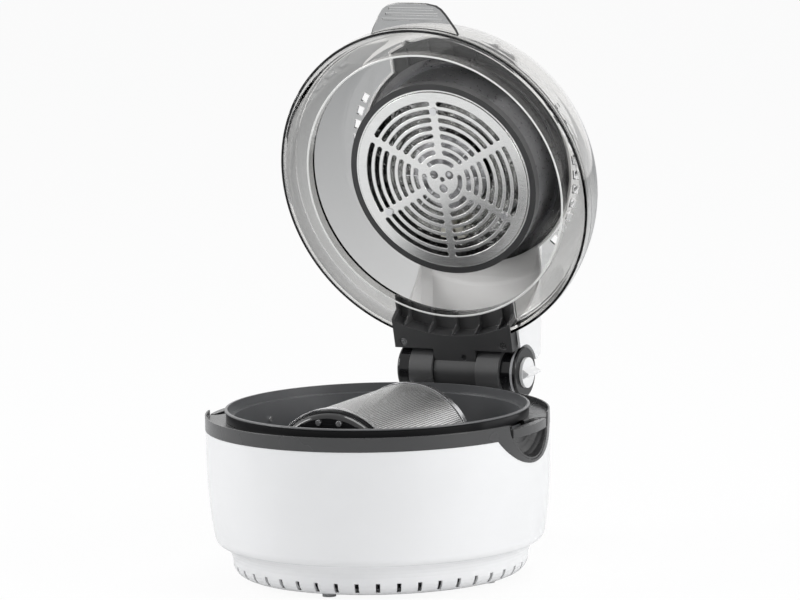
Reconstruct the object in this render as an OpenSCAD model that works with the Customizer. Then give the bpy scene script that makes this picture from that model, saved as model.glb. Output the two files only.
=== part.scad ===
// Halogen oven: a drum-shaped base with a lift-out pot and a turning mesh drum, under a clear lid
// that carries the heater and fan and swings on a barrel hinge at the rear.
// Front is -Y, up is +Z, and the origin is under the centre of the base on the table.
// The pieces of the lid are drawn closed, then turned about the hinge to the open rest pose.

/* [Base] */
// Outer radius of the rim ring
rim_r = 165; // [160:0.5:172]
// How far the white body lies inside the rim ring
body_inset = 0.4; // [0.3:0.1:1.5]
// Height of the body's top edge above the table
body_top = 146.5; // [144:0.5:150]
// Wall of the base body
body_wall = 3; // [2:0.25:4]
// How far the body narrows towards its lower edge
body_taper = 6.4; // [3:0.2:8]
// Height at which the body starts to narrow
taper_top = 122; // [100:1:130]
// Height at which the narrowing ends and the lower edge curls in
taper_end = 43.5; // [42:0.5:48]
// Radius of the body's curled lower edge
curl_r = 10; // [8:0.5:12]
// Radius of the foot skirt below the step
skirt_r = 141.5; // [138:0.5:143]
// Radius of the cove between body and foot skirt
cove_r = 20; // [16:0.5:20]
// Radius of the skirt's rounded bottom edge
foot_round = 14; // [10:0.5:15]
// Height of the skirt's lower face
skirt_z = 5; // [3:0.25:6]
// Number of vent slots round the skirt
vent_count = 44; // [24:2:52]
// Width of one vent slot
vent_w = 4; // [3:0.25:6]
// Lowest point of the vent slots
vent_z = 8.5; // [7:0.5:10]
// Height of a vent slot
vent_h = 9; // [6:0.5:12]
// Radius of the opening in the body's bottom
bottom_hole_r = 122.5; // [118:0.5:124]
// Thickness of the bottom plate
plate_t = 2.5; // [2:0.25:4]
// Radius of a foot
foot_r = 6.5; // [5:0.25:9]
// Distance of the feet from the centre
foot_place = 113; // [100:1:114]
// Distance of the bottom screws from the centre
screw_place = 88; // [75:1:95]

/* [Rim ring] */
// Depth of the ring's plain band below its deck
band_below = 8.5; // [7:0.5:10]
// Thickness of the ring's deck
deck_t = 3; // [2:0.25:4]
// Height of the raised lip above the deck
lip_h = 5; // [3:0.5:7]
// Thickness of the raised lip
lip_t = 1.5; // [1:0.1:1.8]
// Thickness of the ring's outer band
band_t = 3; // [2:0.25:3.2]
// Half width of the gap in the lip for the hinge
hinge_gap = 66; // [64:1:72]
// Depth of the hand aprons below the band
apron_drop = 27.3; // [20:0.5:34]
// Radius of the apron's lower edge
apron_r = 76; // [70:1:84]
// Half width of the hand shelf
shelf_half = 37.5; // [32:0.5:42]
// Depth of the hand scoop below the shelf
scoop_drop = 22.5; // [18:0.5:24]
// How far the scoop goes in from the rim
scoop_in = 15; // [10:0.5:16]
// Radius of the pot-grip cut-outs
grip_r = 22; // [18:0.5:25]
// Distance of the pot-grip centres from the middle
grip_place = 131; // [128:0.5:132]
// Depth of the pot-grip pockets
grip_depth = 10; // [6:0.5:12]

/* [Pot and liner] */
// Inner radius of the pot
pot_r = 138; // [130:0.5:139]
// Sheet thickness of the pot
pot_t = 1.6; // [1:0.1:2]
// Outer radius of the pot's collar
collar_r = 145; // [144:0.25:147]
// Height of the pot's rim above the ring's deck
collar_h = 10.5; // [8:0.5:11]
// Height of the pot's floor
pot_floor = 38; // [34:0.5:44]
// Radius of the pot's bottom corner
pot_round = 20; // [12:1:30]
// Radial air gap between pot and liner
liner_gap = 2.9; // [2.3:0.1:3.4]
// Sheet thickness of the liner
liner_t = 1; // [0.6:0.1:1.5]
// Height of a pot pad
pad_h = 5; // [3:0.25:7]
// Radius of the ring of pot pads
pad_place = 70; // [55:1:90]

/* [Drum] */
// Outer radius of the mesh drum
drum_r = 67; // [50:0.5:68]
// Height of the drum's axis
drum_z = 110; // [107:0.5:112]
// Front end of the drum
drum_front = -97.5; // [-104:0.5:-80]
// Rear end of the drum
drum_rear = 76; // [60:0.5:84]
// Thickness of the mesh
mesh_t = 1; // [0.8:0.1:1.6]
// Radius of the drum's axles
axle_r = 4; // [3:0.25:5]
// Radius of the drum's bushes
bush_r = 8; // [7:0.25:10]
// Rise of the domed end caps
cap_rise = 8; // [4:0.5:11]
// Radius of the ring of rivets on the caps
rivet_place = 55; // [50:0.5:56]
// Number of rivets on each cap
rivet_count = 16; // [8:2:18]
// Reach of the front axle past the drum
axle_front = 30; // [28:0.5:31]
// Reach of the rear axle past the drum
axle_rear = 27; // [25:0.5:28]

/* [Hinge] */
// Distance of the hinge axis behind the centre
hinge_y = 196.5; // [195:0.25:200]
// Height of the hinge axis
hinge_z = 171.5; // [170.5:0.25:174]
// Radius of the hinge barrel
barrel_r = 24.5; // [23.5:0.25:25.5]
// Radius of the centre knuckle
knuckle_r = 21.5; // [18:0.25:22]
// Half width of the centre knuckle bay
bay_half = 23.5; // [21:0.25:26]
// Width of one hinge ear
ear_w = 24.6; // [20:0.2:28]
// Radius of the hinge pins
pin_r = 6; // [4:0.25:8]
// How far each pin reaches into the knuckle
pin_bite = 5.5; // [4:0.25:7]
// Length of the neck beside the right ear
neck_w = 15; // [12:0.5:18]
// Thickness of the lock dial
dial_t = 3.3; // [2:0.1:5]
// Radius of the lock knob
knob_r = 15; // [12:0.5:18]
// Height of the knob's wing
wing_h = 6.5; // [4:0.5:9]
// Angle of the open lid from its closed pose
lid_open = 76; // [0:1:76]

/* [Lid] */
// Outer radius of the clear lid's lip
lid_r = 162.8; // [162:0.1:162.9]
// Height of the lip's lower edge with the lid closed
lid_z = 157; // [156.5:0.25:158]
// Wall of the clear lid
lid_wall = 2.5; // [2:0.25:3]
// Radius of the lid's shoulder
shoulder_r = 137.5; // [134:0.5:141]
// Height of the lid's top face with the lid closed
lid_top = 238; // [230:0.5:244]
// Radius of the round opening in the lid's top
lid_hole_r = 100.5; // [99:0.25:102]
// Inner radius of the skirt
skirt_in = 134.3; // [132:0.1:135]
// Height of the skirt's lower edge
skirt_low = 159.4; // [158:0.2:162]
// Height of the channel over the pot's rim
channel_z = 171; // [169:0.25:173]
// Outer radius of the channel at its top
channel_r = 153.2; // [152:0.1:154.5]
// Number of air slots on each side of the lid's top
air_count = 11; // [5:1:11]
// Distance of the air slots from the middle
air_place = 118; // [115:0.5:124]
// Reach of the hand tab from the middle
tab_reach = 188; // [182:0.5:194]
// Half width of the hand tab's tip
tab_half = 36; // [32:0.5:40]

/* [Bracket and cover] */
// Half width of the hinge bracket
bracket_half = 63.5; // [62:0.25:64.5]
// Height of the bracket's flat underside
bracket_z = 156.3; // [156:0.1:157]
// Radius of the bracket's curved front edge
bracket_edge = 154.8; // [154:0.1:156]
// Rear edge of the bracket's plate
bracket_back = 169.5; // [168.5:0.25:170]
// Height of the bracket
bracket_h = 20; // [18:0.5:24]
// Outer radius of the round top cover
cover_r = 112.5; // [111:0.5:113]
// Height of the cover's crown
cover_top = 300; // [294:1:306]
// Wall of the top cover
cover_wall = 2.5; // [2:0.25:3]
// Half width of the cover's rear arm
arm_half = 67; // [66.5:0.25:69]
// Radius of the cover's front
nose_r = 130; // [126:0.5:132]
// Half width of the cover's front
nose_half = 69; // [64:0.5:72]

/* [Heater and fan] */
// Radius of the grille
grille_r = 90.3; // [86:0.1:91]
// Height of the grille's face with the lid closed
grille_z = 180; // [178:0.5:184]
// Thickness of the grille
grille_t = 1.2; // [0.8:0.1:2]
// Pitch of the grille's slot rows
row_pitch = 8.35; // [8:0.05:8.5]
// Width of a grille slot
slot_w = 5; // [3.5:0.25:5.5]
// Number of grille spokes
spokes = 6; // [4:1:8]
// Width of a grille spoke
spoke_w = 7; // [5:0.5:9]
// Radius of the heater chamber
chamber_r = 96.5; // [96:0.1:97.2]
// Height of the reflector
reflector_z = 207; // [204:0.5:212]
// Radius of the lamp ring
lamp_ring = 58; // [54:0.5:60]
// Radius of the lamp's glass tube
lamp_r = 4.5; // [3:0.25:5.5]
// Radius of the convection fan
fan_r = 45; // [36:0.5:47]
// Number of fan blades
blades = 8; // [4:1:10]
// Radius of the fan's shaft
shaft_r = 3; // [2.5:0.25:4]
// Radius of the fan motor
motor_r = 30; // [24:0.5:36]
// Radius of the drum's geared motor
gear_motor_r = 24; // [20:0.5:26]

/* [Controls] */
// Width of the control panel
panel_w = 92; // [84:1:100]
// Depth of the control panel
panel_d = 30; // [26:0.5:32]
// Width of the display
display_w = 34; // [26:1:36]
// Depth of the display
display_d = 14; // [10:0.5:18]
// Radius of a button
button_r = 4.7; // [4:0.1:5.2]
// Spacing of the button pairs
button_pitch = 14; // [12.6:0.2:16]
// Travel of a button
button_travel = 1; // [0.5:0.1:1.4]

/* [Hidden] */
$fn = 96;
run_fit = 0.05;
cap_t = 1.5;
seat_gap = 0.3;
far = 400;

body_r = rim_r - body_inset;
deck_z = body_top + band_below;
band_in = rim_r - band_t;
deck_in = collar_r - 3.5;
lip_top = deck_z + lip_h;
taper_r = body_r - body_taper;
cove_c = [skirt_r + cove_r, skirt_z + foot_round];
foot_c = [skirt_r - foot_round, skirt_z + foot_round];
plate_z = skirt_z + body_wall;
plate_r = foot_c[0] - 0.5;
plate_top = plate_z + plate_t;

liner_in = pot_r + pot_t + liner_gap;
liner_out = liner_in + liner_t;
pot_under = pot_floor - pot_t;
pad_top = pot_under - seat_gap;
liner_floor = pad_top - pad_h;
ledge_z = deck_z + seat_gap;
collar_top = deck_z + collar_h;

coupler_in = pot_r - 29;
fork_front = liner_out + 0.3;
fork_len = 10.5;
channel_half = bush_r + 2;
channel_back = fork_front + fork_len + 2.5;
motor_front = channel_back + 12;
motor_len = 18;
mount_y = motor_front + motor_len + 0.2;

ear_out = bay_half + ear_w;
washer_t = 0.9;
knuckle_half = bay_half - washer_t - seat_gap;
cap_w = 13.4;
neck_out = ear_out + neck_w;
dial_in = neck_out + 0.5;
dial_out = dial_in + dial_t;
knob_t = 3;
knob_x = dial_out + seat_gap;
bolt_travel = pin_bite + 0.6;

chamber_in = chamber_r - 1;
collar_out = chamber_r + 2;
flange_z = lid_top + seat_gap;
frame_z = flange_z + 2.7;
frame_t = 2.5;
frame_top = frame_z + frame_t;
frame_r = cover_r - cover_wall - 0.6;
motor_z = frame_top + 14.5;
motor_h = 28;
panel_tilt = 45;
panel_y = -104;
panel_z = lid_top + 26;
nose_top = lid_top + 9;
slope_front = panel_y - 17.5;
slope_half = panel_w / 2 + 8;
board_low = -12;
button_low = -6;
grille_screw_place = 71;
post_place = fan_r + 8;
bolt_end = knob_x - bolt_travel - 0.6;
spindle_r = 2.5;
spindle_len = 13;
bracket_screw = [54, 163.5];
arm_root = cover_r - 52.5;
rear_y = max(concat(
    [hinge_y + barrel_r],
    [for (p = cover_edge(0))
        hinge_y + (p[0] - hinge_y) * cos(lid_open) + (p[1] - hinge_z) * sin(lid_open)]));
middle_y = (rear_y - rim_r) / 2;
standoff_r = 4;

function arc(c, r, a0, a1, n) =
    [for (i = [0:n]) let (a = a0 + (a1 - a0) * i / n) [c[0] + r * cos(a), c[1] + r * sin(a)]];
function bow(p, q, r, n) =
    [for (i = [0:n]) let (t = i / n) p * (1 - t) * (1 - t) + q * 2 * t * (1 - t) + r * t * t];

// Outline of the base body, moved inwards by o, from its top edge down to its lower face
function body_line(o) =
    let (curl_c = [taper_r - curl_r * cos(9.4), taper_end + curl_r * sin(9.4)])
    concat(
        [[body_r - o, body_top]],
        [for (i = [0:8])
            let (t = i / 8)
            [body_r - body_taper * t * t - o, taper_top + (taper_end - taper_top) * t]],
        arc(curl_c, curl_r - o, -18, -75, 5),
        arc(cove_c, cove_r + o, 125, 180, 5),
        arc(foot_c, foot_round - o, -15, -90, 5));

// Outline of the clear lid, moved inwards by o, from its lip up to its top face
function lid_line(o) =
    let (low = [lid_r - o, channel_z - 4],
        mid = [lid_r - 5.3 - o, (channel_z + lid_top) / 2 + 2 - 0.4 * o],
        high = [shoulder_r + 2 - 0.84 * o, lid_top - 6.5 - 0.55 * o])
    concat(
        [[lid_r - o, lid_z]],
        bow(low, mid, high, 10),
        bow(high, [shoulder_r - 2.5 - 0.5 * o, lid_top - o],
            [shoulder_r - 10.5, lid_top - o], 5));

module ring(r_out, r_in, z0, z1) {
    translate([0, 0, z0])
        difference() {
            cylinder(r = r_out, h = z1 - z0);
            translate([0, 0, -1])
                cylinder(r = r_in, h = z1 - z0 + 2);
        }
}
module block(x0, x1, y0, y1, z0, z1) {
    translate([x0, y0, z0])
        cube([x1 - x0, y1 - y0, z1 - z0]);
}
module rod_x(r, x0, x1) {
    translate([x0, 0, 0])
        rotate([0, 90, 0])
            cylinder(r = r, h = x1 - x0);
}
module rod_y(r, y0, y1) {
    translate([0, y0, 0])
        rotate([-90, 0, 0])
            cylinder(r = r, h = y1 - y0);
}
module at_hinge() {
    translate([0, hinge_y, hinge_z])
        children();
}
module at_drum() {
    translate([0, 0, drum_z])
        children();
}
// The lid's pieces are drawn closed and turned open about the hinge
module opened() {
    at_hinge()
        rotate([-lid_open, 0, 0])
            translate([0, -hinge_y, -hinge_z])
                children();
}
module body_solid(o) {
    rotate_extrude()
        polygon(concat([[0, body_top]], body_line(o), [[0, skirt_z + o]]));
}
module lid_solid(o) {
    rotate_extrude()
        polygon(concat([[0, lid_z]], lid_line(o), [[0, lid_top - o]]));
}

// Base

module apron_shape(extra) {
    translate([0, 0, body_top - apron_drop + apron_r])
        rod_x(apron_r + extra, -far, far);
}
module scoop_shape(extra, inner) {
    r = (shelf_half * shelf_half + scoop_drop * scoop_drop) / (2 * scoop_drop);
    soft = 12;
    translate([0, 0, body_top - scoop_drop + r])
        rotate([0, 90, 0])
            rotate_extrude()
                polygon(concat(
                    [[0, inner]],
                    arc([r + extra - soft, inner + soft], soft, -90, 0, 4),
                    [[r + extra, rim_r + 5], [0, rim_r + 5]]));
}
module base_shell() {
    tongue_r = band_in - 0.4;
    color("white")
        difference() {
            union() {
                rotate_extrude()
                    polygon(concat(
                        body_line(0),
                        [[bottom_hole_r, skirt_z], [bottom_hole_r, plate_z]],
                        [for (i = [len(body_line(body_wall)) - 1:-1:0]) body_line(body_wall)[i]]));
                ring(tongue_r, tongue_r - body_wall, body_top - 6, deck_z - deck_t);
            }
            for (i = [0:vent_count - 1])
                rotate([0, 0, i * 360 / vent_count])
                    block(foot_c[0], rim_r, -vent_w / 2, vent_w / 2, vent_z, vent_z + vent_h);
            for (side = [0, 180])
                rotate([0, 0, side])
                    intersection() {
                        apron_shape(0.3);
                        block(100, far, -100, 100, 0, far);
                    }
            block(-gear_motor_r - 6, gear_motor_r + 6, 100, far,
                drum_z - gear_motor_r - 6, drum_z + gear_motor_r + 2);
        }
}
module bottom_plate() {
    color("white")
        difference() {
            translate([0, 0, plate_z])
                cylinder(r = plate_r, h = plate_t);
            for (i = [0:3])
                rotate([0, 0, 45 + 90 * i])
                    translate([screw_place, 0, 0])
                        cylinder(r = 2.3, h = 60);
            for (i = [0:11])
                rotate([0, 0, 30 * i])
                    block(30, 62, -2, 2, 0, 60);
        }
}
module feet() {
    color("lightgray")
        for (i = [0:3])
            rotate([0, 0, 90 * i])
                translate([foot_place, 0, 0])
                    cylinder(r = foot_r, h = plate_z);
}
module base_screws() {
    color("silver")
        for (i = [0:3])
            rotate([0, 0, 45 + 90 * i])
                translate([screw_place, 0, 0]) {
                    translate([0, 0, plate_z - 2])
                        cylinder(r = 3.6, h = 2);
                    translate([0, 0, plate_z - 1])
                        cylinder(r = 2, h = 11);
                }
}
module rim_ring() {
    pocket_t = 2;
    color("dimgray")
        difference() {
            union() {
                ring(rim_r, band_in, body_top, deck_z);
                ring(rim_r, deck_in, deck_z - deck_t, deck_z);
                difference() {
                    ring(rim_r, rim_r - lip_t, deck_z - 1, lip_top);
                    block(-hinge_gap, hinge_gap, 0, far, deck_z, far);
                    for (side = [-1, 1])
                        translate([side * rim_r, 0, 0])
                            block(-30, 30, -shelf_half - 3, shelf_half + 3, deck_z, far);
                }
                for (side = [0, 180])
                    rotate([0, 0, side]) {
                        intersection() {
                            ring(rim_r, band_in, body_top - apron_drop - 5, body_top + 1);
                            apron_shape(0);
                            block(100, far, -100, 100, 0, far);
                        }
                        intersection() {
                            difference() {
                                translate([grip_place, 0, deck_z - grip_depth - pocket_t])
                                    cylinder(r = grip_r + pocket_t, h = grip_depth + pocket_t - 1);
                                cylinder(r = liner_out + 0.3, h = far);
                            }
                            cylinder(r = rim_r, h = far);
                        }
                    }
            }
            for (side = [0, 180])
                rotate([0, 0, side]) {
                    translate([grip_place, 0, deck_z - grip_depth])
                        cylinder(r = grip_r, h = far);
                    block(shelf_in(), far, -shelf_half - 0.3, shelf_half + 0.3, body_top - 0.1, far);
                    scoop_shape(2.3, rim_r - scoop_in - 2.3);
                }
            block(-5, 5, 100, channel_back, 0, far);
        }
}
function shelf_in() = grip_place + grip_r + 3;
function button_place(side, i) = side * (display_w / 2 + 8 + button_pitch * i);
module handle() {
    wall = 2;
    color("dimgray")
        difference() {
            union() {
                intersection() {
                    block(shelf_in() + 0.3, far, -shelf_half, shelf_half, body_top + 0.4, deck_z);
                    cylinder(r = rim_r - 0.6, h = far);
                }
                intersection() {
                    scoop_shape(wall, rim_r - scoop_in - wall);
                    cylinder(r = rim_r - 0.6, h = body_top + 0.4);
                }
            }
            intersection() {
                scoop_shape(0, rim_r - scoop_in);
                block(0, far, -far, far, 0, body_top);
            }
        }
}
module handle_right() {
    handle();
}
module handle_left() {
    rotate([0, 0, 180])
        handle();
}
module heat_liner() {
    c = [liner_in - pot_round - 2, liner_floor + pot_round + 2];
    boss_r = 6;
    color("silver")
        difference() {
            union() {
                rotate_extrude()
                    polygon(concat(
                        [[0, liner_floor - liner_t]],
                        arc(c, pot_round + 2 + liner_t, -90, 0, 6),
                        [[liner_out, deck_z - deck_t - 1], [liner_out + 5, deck_z - deck_t - 1]],
                        [[liner_out + 5, deck_z - deck_t], [liner_in, deck_z - deck_t]],
                        arc(c, pot_round + 2, 0, -90, 6),
                        [[0, liner_floor]]));
                for (i = [0:3])
                    rotate([0, 0, 45 + 90 * i])
                        translate([screw_place, 0, plate_top])
                            cylinder(r = boss_r, h = liner_floor - plate_top);
                intersection() {
                    block(-channel_half - 1, channel_half + 1, 100, channel_back,
                        drum_z - bush_r - 3, deck_z - deck_t);
                    difference() {
                        cylinder(r = far, h = far);
                        cylinder(r = liner_in, h = far);
                    }
                }
            }
            for (i = [0:3])
                rotate([0, 0, 45 + 90 * i])
                    translate([screw_place, 0, plate_top - 1])
                        cylinder(r = 2 + run_fit, h = 11);
            block(-channel_half, channel_half, 100, channel_back - 1, drum_z - bush_r - 2, far);
            at_drum()
                rod_y(axle_r + 0.5, 100, far);
            for (side = [0, 180])
                rotate([0, 0, side])
                    difference() {
                        translate([grip_place, 0, deck_z - grip_depth - 3])
                            cylinder(r = grip_r + 2.5, h = far);
                        cylinder(r = liner_out, h = far);
                    }
        }
}
module pot_pads() {
    color("black")
        for (i = [0:2])
            rotate([0, 0, 90 + 120 * i])
                translate([pad_place, 0, liner_floor])
                    cylinder(r = 9, h = pad_h);
}
module rear_housing() {
    half = 46;
    back = mount_y + 18;
    low = 42;
    high = body_top - 6;
    wall = 3;
    color("white")
        difference() {
            intersection() {
                block(-half, half, 100, back, low, high);
                union() {
                    block(-half, half, 100, back - 12, low, high);
                    block(-half + 12, half - 12, 100, back, low, high);
                    for (side = [-1, 1])
                        translate([side * (half - 12), back - 12, low])
                            cylinder(r = 12, h = high - low);
                }
            }
            body_solid(-0.3);
            block(-half + wall, half - wall, 100, back - wall, low + wall, high - wall);
            translate([0, 0, 58])
                rod_y(6 + run_fit, 100, far);
            for (i = [-3:3])
                translate([8 * i, 0, 0])
                    block(-1.5, 1.5, back - 5, far, 80, 120);
        }
}
module motor_plate() {
    plate_half = 42.9;
    color("silver")
        difference() {
            block(-plate_half, plate_half, mount_y, mount_y + 2, drum_z - gear_motor_r - 4, body_top - 9);
            at_drum()
                for (side = [-1, 1])
                    translate([side * (gear_motor_r + 6), 0, 0])
                        rod_y(2, 100, far);
        }
}
module drum_motor() {
    color("silver")
        difference() {
            at_drum() {
                rod_y(gear_motor_r, motor_front, motor_front + motor_len);
                rod_y(8, motor_front - 4, motor_front + 1);
            }
            at_drum()
                rod_y(axle_r - 1 + run_fit, motor_front - 5, motor_front + 10);
        }
}
module cord_inlet() {
    back = mount_y + 18;
    color("dimgray")
        translate([0, 0, 58])
            difference() {
                union() {
                    rod_y(6, back - 8, back + 4);
                    rod_y(9, back, back + 4);
                    rod_y(9, back - 6, back - 3);
                }
                rod_y(3.5, back - 9, back + 5);
            }
}
module terminal_block() {
    color("ivory")
        translate([0, -60, plate_top])
            difference() {
                block(-16, 16, -9, 9, 0, 10);
                for (i = [-1:1])
                    translate([10 * i, 0, 4])
                        cylinder(r = 2.5, h = 10);
            }
}

// Hinge

module hinge_block() {
    low = body_top - 6;
    back = hinge_y + 12;
    color("dimgray")
        difference() {
            union() {
                at_hinge() {
                    rod_x(barrel_r, bay_half, ear_out);
                    rod_x(barrel_r, -ear_out, -bay_half);
                }
                block(-ear_out, ear_out, 100, back, low, deck_z);
            }
            cylinder(r = rim_r + 0.3, h = far);
            at_hinge() {
                rod_x(knuckle_r + 1, -bay_half, bay_half);
                rod_x(pin_r + run_fit, -far, far);
            }
        }
}
module hinge_pin() {
    color("silver")
        at_hinge()
            rod_x(pin_r, -ear_out - 4, -knuckle_half + pin_bite);
}
module hinge_cap() {
    color("black")
        at_hinge()
            difference() {
                translate([-ear_out, 0, 0])
                    rotate([0, -90, 0])
                        rotate_extrude()
                            polygon(concat(
                                [[0, 0], [barrel_r, 0]],
                                arc([barrel_r - 3, cap_w - 3], 3, 0, 90, 4),
                                [[0, cap_w]]));
                rod_x(pin_r + run_fit, -ear_out - 4.5, -ear_out + 1);
            }
}
module friction_washers() {
    color("silver")
        at_hinge()
            for (side = [-1, 1])
                difference() {
                    translate([side * (bay_half - washer_t / 2), 0, 0])
                        rod_x(knuckle_r - 4, -washer_t / 2, washer_t / 2);
                    rod_x(pin_r + 0.3, -far, far);
                }
}
module hinge_neck() {
    color("black")
        at_hinge()
            difference() {
                rod_x(barrel_r - 4.5, ear_out, neck_out);
                rod_x(pin_r + 0.4, 0, far);
            }
}
module dial_trim() {
    color("lightgray")
        at_hinge()
            difference() {
                union() {
                    rod_x(barrel_r - 1.5, neck_out - 3, neck_out + 0.5);
                    rod_x(barrel_r, neck_out - 1.5, neck_out + 0.5);
                }
                rod_x(barrel_r - 4.45, neck_out - 4, neck_out);
                rod_x(pin_r + 0.4, 0, far);
            }
}
module lock_dial() {
    color("black")
        at_hinge()
            difference() {
                translate([dial_in, 0, 0])
                    rotate([0, 90, 0])
                        rotate_extrude()
                            polygon(concat(
                                [[0, 0], [barrel_r + 0.5, 0]],
                                arc([barrel_r - 1, dial_t - 1.5], 1.5, 0, 90, 4),
                                [[0, dial_t]]));
                rod_x(pin_r + 0.4, 0, far);
            }
}
module lock_knob() {
    color("white")
        at_hinge()
            union() {
                    rod_x(knob_r, knob_x, knob_x + knob_t);
                    rod_x(spindle_r, knob_x - spindle_len, knob_x + 1);
                    intersection() {
                        rod_x(knob_r - 0.5, knob_x, knob_x + knob_t + wing_h);
                        translate([knob_x + knob_t, 0, 0])
                            rotate([90, 0, 0])
                                translate([0, 0, -knob_r])
                                    linear_extrude(2 * knob_r)
                                        polygon([[-1, -5.5], [-1, 5.5], [wing_h, 0.9], [wing_h, -0.9]]);
                    }
            }
}
module lock_bolt() {
    color("silver")
        at_hinge()
            difference() {
                rod_x(pin_r, knuckle_half - pin_bite, bolt_end);
                rod_x(spindle_r + run_fit, knob_x - spindle_len - bolt_travel - 0.6, far);
            }
}

// Pot and drum

module pot() {
    c = [pot_r - pot_round, pot_floor + pot_round];
    bead = 1.2;
    color("#3c3c40")
        difference() {
            union() {
                rotate_extrude()
                    polygon(concat(
                        [[0, pot_under]],
                        arc(c, pot_round + pot_t, -90, 0, 6),
                        [[pot_r + pot_t, ledge_z], [collar_r, ledge_z], [collar_r, collar_top]],
                        [[collar_r - pot_t, collar_top], [collar_r - pot_t, ledge_z + pot_t]],
                        [[pot_r, ledge_z + pot_t]],
                        arc(c, pot_round, 0, -90, 6),
                        [[0, pot_floor]]));
                translate([0, 0, collar_top - bead])
                    rotate_extrude()
                        translate([collar_r, 0])
                            circle(r = bead, $fn = 24);
            }
            at_drum()
                rod_y(axle_r + 2, 100, far);
        }
}
module cradle(near, wall_y) {
    half = bush_r + 4;
    low = bush_r + 7;
    flange = pot_r - 1.9;
    difference() {
        union() {
            block(-half, half, near, near + 2, -low, 3);
            for (side = [-1, 1])
                translate([side * (half - 1), 0, 0])
                    block(-1, 1, near, flange, -low, -low + 10);
            block(-half - 8, half + 8, flange - 1.2, flange, -low, -low + 5.5);
        }
        rod_y(bush_r + 0.3, near - 1, near + 3);
        block(-bush_r - 0.3, bush_r + 0.3, near - 1, near + 3, 0, far);
    }
}
module pot_cradles() {
    color("silver")
        at_drum() {
            cradle(pot_r - 42, pot_r);
            rotate([0, 0, 180])
                cradle(-drum_front + 20, pot_r);
        }
}
module pot_studs() {
    stud_r = 2.6;
    stud_h = 1.8;
    color("silver") {
        at_drum()
            for (turn = [0, 180], side = [-1, 1])
                rotate([0, 0, turn])
                    translate([side * (bush_r + 8), 0, -bush_r - 4.2])
                        rod_y(stud_r, pot_r - 4.9, pot_r - 4.9 + stud_h);
        intersection() {
            for (turn = [-15, 15, 165, 195])
                rotate([0, 0, turn])
                    translate([0, 0, drum_z + 2 * pot_round - 10])
                        rod_x(stud_r, pot_r - stud_h, pot_r + 1);
            cylinder(r = pot_r, h = far);
        }
    }
}
module pot_bush() {
    color("ivory")
        at_drum()
            difference() {
                union() {
                    rod_y(axle_r + 2, pot_r - 1.5, pot_r + 2.5);
                    rod_y(axle_r + 5, pot_r - 4, pot_r - 0.9);
                }
                rod_y(axle_r + run_fit, 100, far);
            }
}
module blade(y0, y1) {
    intersection() {
        rod_y(axle_r, y0, y1);
        block(-1.2, 1.2, y0, y1, -far, far);
    }
}
module fork(y0, y1, floor_t) {
    difference() {
        rod_y(bush_r, y0, y1);
        block(-1.5, 1.5, y0 - 1, y1 - floor_t, -far, far);
    }
}
module pot_coupler() {
    color("silver")
        at_drum() {
            fork(coupler_in, coupler_in + 11, 3);
            rod_y(axle_r, coupler_in + 11, pot_r + 2.8);
            blade(pot_r + 2, fork_front + 6);
        }
}
module drive_fork() {
    color("silver")
        at_drum() {
            fork(fork_front, fork_front + fork_len, 3);
            rod_y(axle_r - 1, fork_front + fork_len, motor_front + 9);
        }
}
module drum_bushes() {
    color("ivory")
        at_drum()
            for (near = [pot_r - 42, drum_front - 22])
                difference() {
                    union() {
                        rod_y(bush_r, near - 2, near + 4);
                        rod_y(bush_r + 2, near - 3.3, near - 0.4);
                        rod_y(bush_r + 2, near + 2.4, near + 5);
                    }
                    rod_y(axle_r + run_fit, near - 4, near + 6);
                }
}
module drum_mesh() {
    color("gainsboro")
        at_drum()
            difference() {
                rod_y(drum_r - 0.6, drum_front + 0.4, drum_rear - 0.4);
                rod_y(drum_r - 0.6 - mesh_t, drum_front - 1, drum_rear + 1);
            }
}
module drum_bands() {
    band_w = 7;
    color("silver")
        at_drum()
            for (start = [drum_front, drum_rear - band_w])
                difference() {
                    rod_y(drum_r, start, start + band_w);
                    rod_y(drum_r - 0.55, start - 1, start + band_w + 1);
                }
}
function cap_line(r, o) =
    bow([r - 1.5 - o, -o], [r - 2.5 - o, cap_rise - o], [rivet_place + 3.4 - o, cap_rise - o], 6);
module drum_cap() {
    cap_r = drum_r - 0.7 - mesh_t;
    outer = cap_line(cap_r, 0);
    rotate([90, 0, 0])
        rotate_extrude()
            polygon(concat(
                [[0, cap_rise - cap_t]],
                [for (i = [6:-1:0]) cap_line(cap_r, cap_t)[i]],
                [[cap_r - cap_t, -cap_t], [cap_r - cap_t, -8], [cap_r, -8], [cap_r, 0]],
                outer,
                [[0, cap_rise]]));
}
module rivet_cuts(r, depth) {
    for (i = [0:rivet_count - 1])
        rotate([0, 360 / rivet_count * (i + 0.5), 0])
            translate([rivet_place, 0, 0])
                rod_y(r, -depth, depth);
}
module drum_cap_front() {
    color("black")
        at_drum()
            translate([0, drum_front + 0.4, 0])
                difference() {
                    drum_cap();
                    rod_y(axle_r + run_fit, -far, far);
                    rivet_cuts(2.05, far);
                }
}
module drum_cap_rear() {
    color("black")
        at_drum()
            translate([0, drum_rear - 0.4, 0])
                rotate([0, 0, 180])
                    difference() {
                        drum_cap();
                        rod_y(axle_r + run_fit, -far, far);
                        rivet_cuts(2.05, far);
                    }
}
module drum_rivets() {
    color("silver")
        at_drum()
            for (turn = [0, 180])
                translate([0, turn == 0 ? drum_front + 0.4 : drum_rear - 0.4, 0])
                    rotate([0, 0, turn])
                        for (i = [0:rivet_count - 1])
                            rotate([0, 360 / rivet_count * (i + 0.5), 0])
                                translate([rivet_place, 0, 0]) {
                                    rod_y(2, -cap_rise - 1, cap_t - cap_rise + 1);
                                    rod_y(2.9, -cap_rise - 1.4, -cap_rise);
                                }
}
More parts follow.
